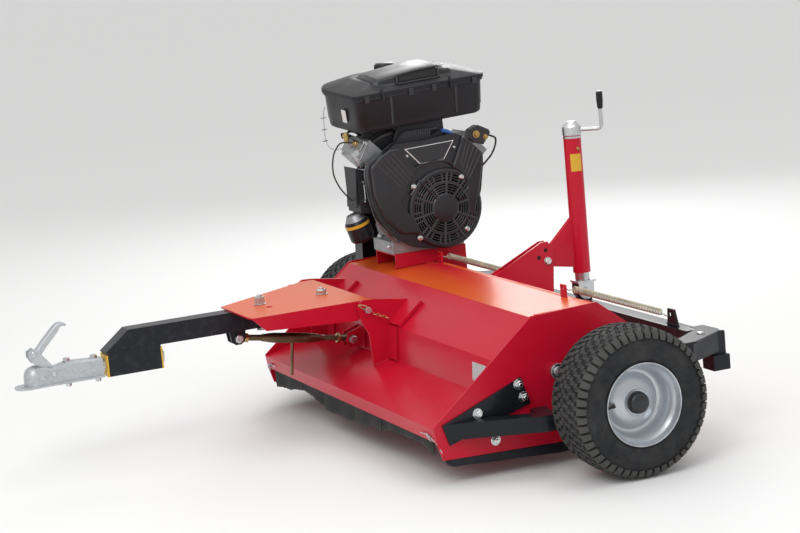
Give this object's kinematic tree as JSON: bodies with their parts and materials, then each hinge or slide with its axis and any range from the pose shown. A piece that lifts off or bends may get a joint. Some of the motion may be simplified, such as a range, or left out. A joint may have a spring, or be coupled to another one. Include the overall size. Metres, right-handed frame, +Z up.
{
  "type": "brush mower",
  "caption": "Towed flail brush mower: wide hooded deck on two turf wheels, V-twin engine with belt drive, screw jack for cutting height, offset drawbar with ball coupler.",
  "frame": {"origin": "centre of the bounding box in plan, on the floor under the tyres", "axes": "+Z up, -Y towards the coupler (direction of travel), +X towards the wheel on the side away from the belt drive"},
  "size_m": [1.8938, 1.8179, 1.0558],
  "materials": {
    "alloy": "die-cast aluminium",
    "bare_steel": "bare worked steel",
    "black_paint": "satin black powder coat",
    "black_plastic": "moulded grained black plastic",
    "cast_metal": "cast iron, sand-cast grain",
    "galvanised": "hot-dip galvanised steel",
    "red_paint": "glossy red powder coat",
    "rubber": "black reinforced rubber",
    "silver_rim": "silver painted wheel steel",
    "tyre": "turf tread tyre",
    "zinc": "zinc-plated steel"
  },
  "bodies": {
    "deck": {"deck_hood": "red_paint", "side_panel_near": "red_paint", "side_panel_far": "red_paint", "hitch_ear_near": "red_paint", "hitch_ear_far": "red_paint", "flap_rod": "bare_steel", "front_flap": "rubber", "skid_near": "black_paint", "skid_far": "black_paint", "wheel_guard_near": "black_paint", "wheel_guard_far": "black_paint", "jack_bracket": "red_paint", "jack_outer": "red_paint", "engine_pedestal": "red_paint", "crankcase": "alloy", "engine_cylinders": "alloy", "blower_housing": "black_plastic", "air_cleaner_base": "black_plastic", "air_cleaner_lid": "black_plastic", "intake_column": "black_plastic", "oil_filter": "black_paint", "belt_guard": "black_paint", "drive_belt": "rubber", "turnbuckle_lug": "red_paint", "rotor_bearing_near": "cast_metal", "rotor_bearing_far": "cast_metal", "pivot_pin_near": "zinc", "pivot_pin_far": "zinc", "hitch_pin_near": "zinc", "hitch_pin_far": "zinc", "turnbuckle_rear_bolt": "zinc", "lift_spring_near": "zinc", "lift_spring_far": "zinc"},
    "rotor": {"flail_rotor": "bare_steel", "rotor_pulley": "cast_metal"},
    "crankshaft": {"cooling_fan": "cast_metal", "engine_pulley": "cast_metal"},
    "wheel_frame": {"wheel_frame": "black_paint"},
    "wheel_near": {"tyre_near": "tyre", "rim_near": "silver_rim", "hub_cap_near": "zinc"},
    "wheel_far": {"tyre_far": "tyre", "rim_far": "silver_rim", "hub_cap_far": "zinc"},
    "jack_slide": {"jack_inner": "zinc", "jack_clevis": "zinc", "clevis_pin": "zinc"},
    "jack_handle": {"jack_crank": "zinc", "jack_cap": "zinc"},
    "jack_grip": {"crank_grip": "black_plastic"},
    "hitch": {"drawbar_housing": "red_paint", "drawbar": "black_paint", "swing_bolt": "zinc", "lock_bolt": "zinc", "turnbuckle_front_bolt": "zinc"},
    "coupler": {"coupler_body": "galvanised"},
    "coupler_latch": {"coupler_lever": "galvanised"},
    "turnbuckle_rear": {"turnbuckle_rear_end": "zinc"},
    "turnbuckle_front": {"turnbuckle_front_end": "zinc"},
    "turnbuckle_screw": {"turnbuckle_sleeve": "zinc"}
  },
  "joints": [
    {"name": "wheel_frame_tilt", "type": "hinge", "parent": "deck", "child": "wheel_frame", "pos_m": [0, 0.38225, 0.262], "axis": [-1, 0, 0], "range_deg": [-2.5, 15], "deforming": ["lift_spring_near", "lift_spring_far"]},
    {"name": "jack_extend", "type": "slide", "parent": "deck", "child": "jack_slide", "axis": [0, 0, -1], "range_m": [-0.02, 0.118]},
    {"name": "wheel_near_spin", "type": "hinge", "parent": "wheel_frame", "child": "wheel_near", "pos_m": [0.8644, 0.47925, 0.203], "axis": [1, 0, 0], "continuous": true},
    {"name": "wheel_far_spin", "type": "hinge", "parent": "wheel_frame", "child": "wheel_far", "pos_m": [-0.8644, 0.47925, 0.203], "axis": [1, 0, 0], "continuous": true},
    {"name": "jack_crank_turn", "type": "hinge", "parent": "deck", "child": "jack_handle", "pos_m": [0, 0.82625, 0.83], "axis": [0, 0, 1], "continuous": true},
    {"name": "crank_grip_turn", "type": "hinge", "parent": "jack_handle", "child": "jack_grip", "pos_m": [0.062, 0.89625, 0.92], "axis": [0, 0, 1], "continuous": true},
    {"name": "hitch_pitch", "type": "hinge", "parent": "deck", "child": "hitch", "pos_m": [-0.299, 0.12525, 0.376], "axis": [-1, 0, 0], "range_deg": [-8, 8]},
    {"name": "turnbuckle_tilt", "type": "hinge", "parent": "deck", "child": "turnbuckle_rear", "pos_m": [-0.265, 0.14825, 0.255], "axis": [-1, 0, 0], "range_deg": [-7.5, 7.5]},
    {"name": "turnbuckle_length", "type": "slide", "parent": "turnbuckle_rear", "child": "turnbuckle_front", "axis": [0, -0.9868, 0.1622], "range_m": [-0.0165, 0.0165]},
    {"name": "turnbuckle_turn", "type": "hinge", "parent": "turnbuckle_front", "child": "turnbuckle_screw", "pos_m": [-0.265, -0.05505, 0.2884], "axis": [0, -0.9868, 0.1622], "range_deg": [-110, 110]},
    {"name": "coupler_swivel", "type": "hinge", "parent": "hitch", "child": "coupler", "pos_m": [-0.265, -0.55075, 0.3], "axis": [0, 1, 0], "continuous": true},
    {"name": "coupler_lever_lift", "type": "hinge", "parent": "coupler", "child": "coupler_latch", "pos_m": [-0.265, -0.83675, 0.369], "axis": [1, 0, 0], "range_deg": [-28, 35]},
    {"name": "rotor_spin", "type": "hinge", "parent": "deck", "child": "rotor", "pos_m": [0, 0.47925, 0.212], "axis": [1, 0, 0], "continuous": true},
    {"name": "engine_spin", "type": "hinge", "parent": "deck", "child": "crankshaft", "pos_m": [-0.5, 0.54025, 0.598], "axis": [1, 0, 0], "continuous": true}
  ],
  "couplings": [
    {"joint": "jack_extend", "follows": "wheel_frame_tilt", "m_per_rad": 0.4465},
    {"joint": "turnbuckle_tilt", "follows": "hitch_pitch", "ratio": 0.885},
    {"joint": "turnbuckle_length", "follows": "hitch_pitch", "m_per_rad": 0.1156},
    {"joint": "engine_spin", "follows": "rotor_spin", "ratio": 1.12}
  ]
}
